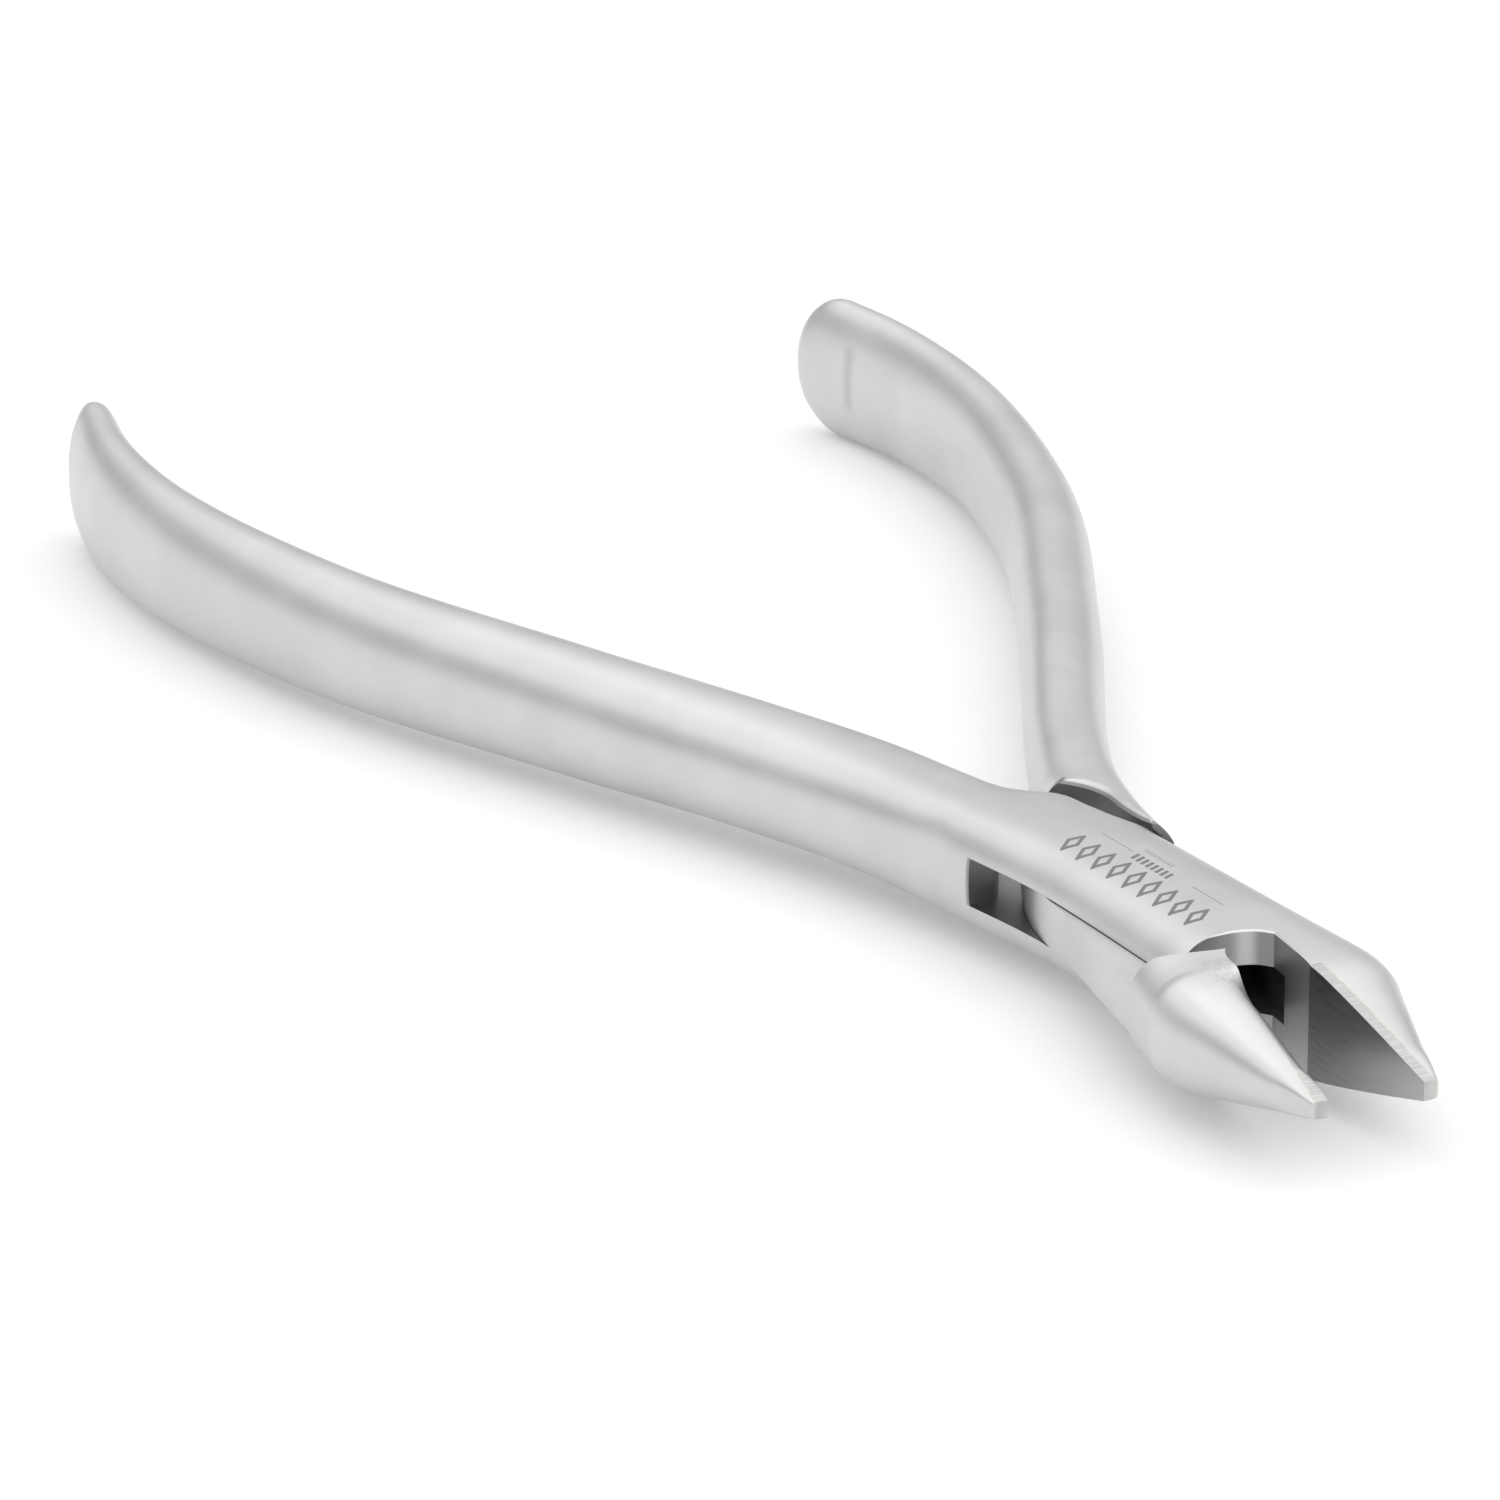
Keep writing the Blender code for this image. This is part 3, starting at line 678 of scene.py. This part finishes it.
class NipperSizes(bpy.types.PropertyGroup):
    """What a user would change on the tool"""
    chamfer: FloatProperty(name="Edge break", default=0.17, min=0.02, max=0.6,
                           description="Chamfer along the cheeks and the shoulder, in millimetres")
    roughness: FloatProperty(name="Roughness", description="Satin finish of the steel", default=0.37,
                             min=0.05, max=0.8, subtype="FACTOR")
    steel: FloatVectorProperty(name="Steel", description="Colour of the satin steel", subtype="COLOR",
                               default=(0.64, 0.64, 0.637), min=0.0, max=1.0)


class StageLook(bpy.types.PropertyGroup):
    """What a user would change on the stage"""
    floor: FloatVectorProperty(name="Floor", description="Colour of the plain floor", subtype="COLOR",
                               default=(0.93, 0.93, 0.93), min=0.0, max=1.0)
    key_power: FloatProperty(name="Overhead light", description="Power of the overhead softbox",
                             default=0.9, subtype="POWER", min=0.0)
    horizon: FloatProperty(name="Low surround", description="Brightness of the surround low down",
                           default=0.60, min=0.0)
    zenith: FloatProperty(name="High surround", description="Brightness of the surround overhead",
                          default=1.25, min=0.0)
    lens: FloatProperty(name="Lens", description="Focal length of the camera in millimetres",
                        default=205.13, min=10.0, unit="CAMERA")


class NIPPERS_OT_box_half(bpy.types.Operator):
    """Make the half with the near handle, the slotted box and the far jaw"""
    bl_idname = "nippers.box_half"
    bl_label = "Box half"

    def execute(self, context):
        look = context.scene.nipper_sizes
        body = tube_mesh("box_half_body", forging_rings(-1, BOX_BODY + FAR_JAW), HALF_OPENING)
        cuts = [(shoulder_cut(), through(SHOULDER_BREAK)), (front_cut(), through(look.chamfer)),
                (slot_cut(), slab(SLOT_HALF)), (bore(BOX_BORE_GAP), slab(RIVET_HALF + BOX_BORE_GAP))]
        mesh = grind("box_half", body, cuts, HALF_OPENING)
        finish = steel("satin_steel_box", HALF_OPENING, look, box_details)
        show("box_half_forging", mesh, "box_side", "box_half", finish)
        return {"FINISHED"}


class NIPPERS_OT_tongue_half(bpy.types.Operator):
    """Make the half with the far handle, the flat tongue and the near jaw"""
    bl_idname = "nippers.tongue_half"
    bl_label = "Tongue half"

    def execute(self, context):
        look = context.scene.nipper_sizes
        body = tube_mesh("tongue_half_body", forging_rings(1, TONGUE_BODY + NEAR_JAW), -HALF_OPENING)
        space = cheek_space()
        upper = ((TONGUE_HALF, 0.0), *rim(look.chamfer * CRESCENT_BREAK))
        lower = tuple((-z, offset) for z, offset in reversed(upper))
        cuts = [(space, upper), (space, lower), (tongue_far_cut(), slab(CUT_TOP)),
                (tongue_near_cut(), slab(CUT_TOP)), (bore(TONGUE_BORE_GAP), slab(CUT_TOP))]
        mesh = grind("tongue_half", body, cuts, -HALF_OPENING)
        finish = steel("satin_steel_tongue", -HALF_OPENING, look, tongue_details)
        show("tongue_half_forging", mesh, "tongue_side", "tongue_half", finish)
        return {"FINISHED"}


class NIPPERS_OT_rivet(bpy.types.Operator):
    """Make the rivet inside the joint, a little under the cheeks' flats"""
    bl_idname = "nippers.rivet"
    bl_label = "Rivet"

    def execute(self, context):
        angle = (np.arange(RIVET_SIDES) * math.tau / RIVET_SIDES)[None, :]
        narrow, short = RIVET_R - RIVET_BREAK, RIVET_HALF - RIVET_BREAK
        profile = np.array(((RIVET_EYE, -RIVET_HALF), (narrow, -RIVET_HALF), (RIVET_R, -short),
                            (RIVET_R, short), (narrow, RIVET_HALF), (RIVET_EYE, RIVET_HALF)))
        rings = np.stack([profile[:, :1] * np.cos(angle), profile[:, :1] * np.sin(angle),
                          np.repeat(profile[:, 1:], RIVET_SIDES, axis=1)], axis=-1)
        mesh = tube_mesh("rivet_body", rings, HALF_OPENING)
        finish = steel("rivet_steel", HALF_OPENING, context.scene.nipper_sizes)
        show("rivet_shank", mesh, "box_side", "pivot_rivet", finish)
        return {"FINISHED"}


class NIPPERS_OT_blades(bpy.types.Operator):
    """Make the hard-metal blades and their braze layers, trimmed to the jaws"""
    bl_idname = "nippers.blades"
    bl_label = "Blades"

    def execute(self, context):
        halves = (("box", 1, BOX_BODY + FAR_JAW), ("tongue", -1, TONGUE_BODY + NEAR_JAW))
        for word, side, stations in halves:
            turn = side * HALF_OPENING
            for layer, front, back, finish in (("blade", BLADE_FACE, BLADE_BACK, carbide),
                                               ("braze", BLADE_BACK, BRAZE_BACK, braze)):
                body = tube_mesh("layer_body", forging_rings(-side, stations), turn)
                trims = (trim(BLADE_HEEL, -TRIM_REACH, TRIM_REACH),
                         trim(TRIM_REACH, side * front, -side * TRIM_REACH),
                         trim(TRIM_REACH, side * back, side * TRIM_REACH))
                mesh = grind(layer, body, [(outline, slab(TRIM_TOP)) for outline in trims], turn)
                node = f"{word}_jaw_{layer}"
                show(f"{word}_{layer}_plate", mesh, f"{word}_side", node, finish(f"{node}_finish", turn))
        return {"FINISHED"}


def soft_surround(look):
    """White surround whose strength rises smoothly with the height of its direction."""
    world = bpy.data.worlds.new("soft_white")
    world.use_nodes = True
    graph = Graph(world.node_tree)
    sky = world.node_tree.nodes["Background"]
    here = graph.node("ShaderNodeTexCoord", {}, out="Generated")
    height = graph.node("ShaderNodeSeparateXYZ", {}, here, out="Z")
    rise = graph.node("ShaderNodeMapRange", {"interpolation_type": "SMOOTHSTEP"}, height,
                      *SURROUND_RISE, look.horizon, look.zenith)
    graph.join((1.0, 1.0, 1.0, 1.0), sky.inputs["Color"])
    graph.join(rise, sky.inputs["Strength"])
    return world


def aim(thing, direction):
    """Turn a light or a camera so that it looks along a direction."""
    thing.rotation_euler = Vector(direction).to_track_quat("-Z", "Y").to_euler()


def add_light(name, place, size, power):
    """Soft square light that faces the middle of the stage."""
    data = bpy.data.lights.new(name, "AREA")
    data.shape, data.size, data.energy = "SQUARE", size, power
    lamp = bpy.data.objects.new(name, data)
    bpy.context.scene.collection.objects.link(lamp)
    lamp.location = place
    aim(lamp, -Vector(place))


class NIPPERS_OT_stage(bpy.types.Operator):
    """Lay out the pale floor, soft lights and the camera"""
    bl_idname = "nippers.stage"
    bl_label = "Stage"

    def execute(self, context):
        look = context.scene.nipper_stage
        scene = context.scene
        mesh = bpy.data.meshes.new("floor")
        corners = np.array(((-1, -1), (1, -1), (1, 1), (-1, 1))) * FLOOR_HALF
        mesh.from_pydata(np.column_stack([corners, np.full(4, FLOOR_Z)]).tolist(), [], [(0, 1, 2, 3)])
        mesh.materials.append(plain_floor("pale_floor", look.floor))
        floor = bpy.data.objects.new("floor", mesh)
        scene.collection.objects.link(floor)
        for name, place, size, share in LIGHTS:
            add_light(name, place, size, look.key_power * share)
        scene.world = soft_surround(look)
        scene.view_settings.view_transform = "Standard"
        camera = bpy.data.objects.new("camera", bpy.data.cameras.new("camera"))
        scene.collection.objects.link(camera)
        camera.data.lens, camera.data.sensor_width = look.lens, SENSOR_WIDTH
        camera.data.clip_start = CLIP_START
        camera.location = CAMERA_PLACE
        yaw, pitch = math.radians(CAMERA_YAW), math.radians(CAMERA_PITCH)
        aim(camera, (math.cos(pitch) * math.cos(yaw), math.cos(pitch) * math.sin(yaw), math.sin(pitch)))
        scene.camera = camera
        return {"FINISHED"}


class NIPPERS_PT_panel(bpy.types.Panel):
    """Panel that lists the pieces and the values a user would change"""
    bl_idname = "NIPPERS_PT_panel"
    bl_label = "Nippers"
    bl_space_type = "VIEW_3D"
    bl_region_type = "UI"
    bl_category = "Nippers"

    def draw(self, context):
        layout = self.layout
        for group in (context.scene.nipper_sizes, context.scene.nipper_stage):
            for name in group.__annotations__:
                layout.prop(group, name)
        for operator in OPERATORS:
            layout.operator(operator.bl_idname)


OPERATORS = (NIPPERS_OT_box_half, NIPPERS_OT_tongue_half, NIPPERS_OT_rivet, NIPPERS_OT_blades,
             NIPPERS_OT_stage)
CLASSES = (NipperSizes, StageLook, *OPERATORS, NIPPERS_PT_panel)


def register():
    """Add the classes and give every scene its two groups of values."""
    for cls in CLASSES:
        bpy.utils.register_class(cls)
    bpy.types.Scene.nipper_sizes = PointerProperty(type=NipperSizes)
    bpy.types.Scene.nipper_stage = PointerProperty(type=StageLook)


def unregister():
    """Undo register, in the opposite order."""
    del bpy.types.Scene.nipper_stage
    del bpy.types.Scene.nipper_sizes
    for cls in reversed(CLASSES):
        bpy.utils.unregister_class(cls)


def main():
    """Make every piece and the stage."""
    register()
    for operator in OPERATORS:
        group, name = operator.bl_idname.split(".")
        getattr(getattr(bpy.ops, group), name)()


if __name__ == "__main__":
    main()
